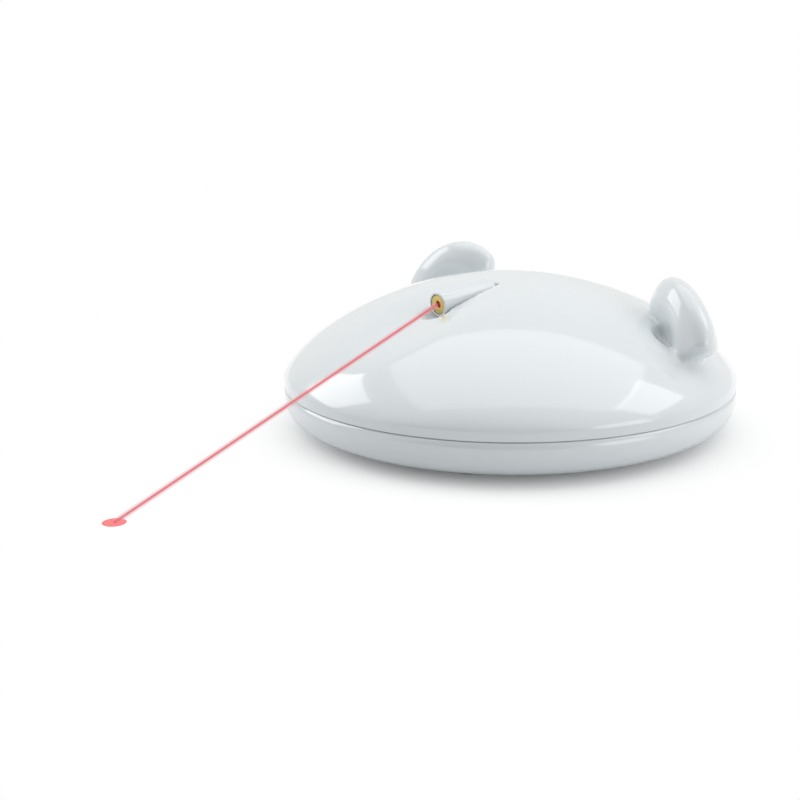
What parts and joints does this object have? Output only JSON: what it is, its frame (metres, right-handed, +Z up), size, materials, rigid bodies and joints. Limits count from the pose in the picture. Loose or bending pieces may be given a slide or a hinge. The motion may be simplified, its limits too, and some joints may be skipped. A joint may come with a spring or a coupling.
{
  "type": "automatic cat laser toy",
  "caption": "Low round mouse-headed case with moulded ears, whose top turns on its base while a small nodding barrel throws a laser dot on the floor for a cat to chase.",
  "frame": {"origin": "middle of the base's underside, at floor level, on the axis that the top turns about", "axes": "+Z up; the barrel points along -Y at rest; +X is the ear on the right when seen from behind"},
  "size_m": [0.16, 0.16, 0.056],
  "materials": {
    "shell_white": "gloss",
    "rubber": "matt",
    "steel": "satin",
    "cell_sleeve": "printed sleeve, plain",
    "dark_plastic": "matt",
    "inner_plastic": "matt",
    "gear_plastic": "acetal, satin",
    "board": "solder mask",
    "copper": "gold-flashed copper",
    "brass": "turned",
    "lens_red": "polished",
    "zinc": "plated",
    "button_plastic": "gloss"
  },
  "bodies": {
    "base": {"lower_shell": "shell_white", "rubber_feet": "rubber", "cells": "cell_sleeve", "cell_contacts": "steel", "chassis": "dark_plastic", "chassis_screws": "steel", "drive_motor": "zinc", "motor_screws": "steel", "gear_axles": "steel", "post_washer": "steel", "post_screw": "steel", "contact_brushes": "copper", "control_board": "board", "board_chips": "dark_plastic", "board_screws": "steel", "tact_switch": "dark_plastic"},
    "door": {"battery_door": "shell_white", "door_screw": "steel"},
    "button": {"power_button": "button_plastic"},
    "motor_rotor": {"motor_shaft": "steel", "motor_pinion": "gear_plastic"},
    "gear_one": {"compound_gear_1": "gear_plastic"},
    "gear_two": {"compound_gear_2": "gear_plastic"},
    "turret": {"top_shell": "shell_white", "shell_screws": "steel", "turret_plate": "inner_plastic", "slip_ring_board": "board", "slip_ring_tracks": "copper", "pivot_pin": "steel", "tilt_motor": "zinc", "motor_clip": "inner_plastic", "clip_screws": "steel"},
    "barrel": {"laser_barrel": "shell_white", "laser_module": "brass", "laser_lens": "lens_red", "laser_driver_board": "board", "tilt_sector": "gear_plastic"},
    "tilt_rotor": {"tilt_shaft": "steel", "tilt_pinion": "gear_plastic"}
  },
  "joints": [
    {"name": "turret_spin", "type": "hinge", "parent": "base", "child": "turret", "pos_m": [0, 0, 0.03], "axis": [0, 0, 1], "continuous": true},
    {"name": "gear_two_spin", "type": "hinge", "parent": "base", "child": "gear_two", "pos_m": [-0.03637, 0.021, 0.026], "axis": [0, 0, 1], "continuous": true},
    {"name": "gear_one_spin", "type": "hinge", "parent": "base", "child": "gear_one", "pos_m": [-0.05326, 0.00886, 0.026], "axis": [0, 0, 1], "continuous": true},
    {"name": "motor_spin", "type": "hinge", "parent": "base", "child": "motor_rotor", "pos_m": [-0.05462, -0.00668, 0.026], "axis": [0, 0, 1], "continuous": true},
    {"name": "barrel_nod", "type": "hinge", "parent": "turret", "child": "barrel", "pos_m": [0, -0.0114, 0.047], "axis": [1, 0, 0], "range_deg": [-8, 0.7]},
    {"name": "tilt_pinion_spin", "type": "hinge", "parent": "turret", "child": "tilt_rotor", "pos_m": [0, 0.00877, 0.03926], "axis": [1, 0, 0], "range_deg": [-18, 55]},
    {"name": "power_press", "type": "slide", "parent": "base", "child": "button", "axis": [0, -1, 0], "range_m": [0, 0.0012], "stiffness_N_per_m": 400, "springref_m": -0.001},
    {"name": "door_off", "type": "slide", "parent": "base", "child": "door", "axis": [0, 0, -1], "range_m": [0, 0.02]}
  ],
  "couplings": [
    {"joint": "gear_two_spin", "follows": "turret_spin", "ratio": -6},
    {"joint": "gear_one_spin", "follows": "turret_spin", "ratio": 20},
    {"joint": "motor_spin", "follows": "turret_spin", "ratio": -66.667},
    {"joint": "tilt_pinion_spin", "follows": "barrel_nod", "ratio": -5}
  ]
}
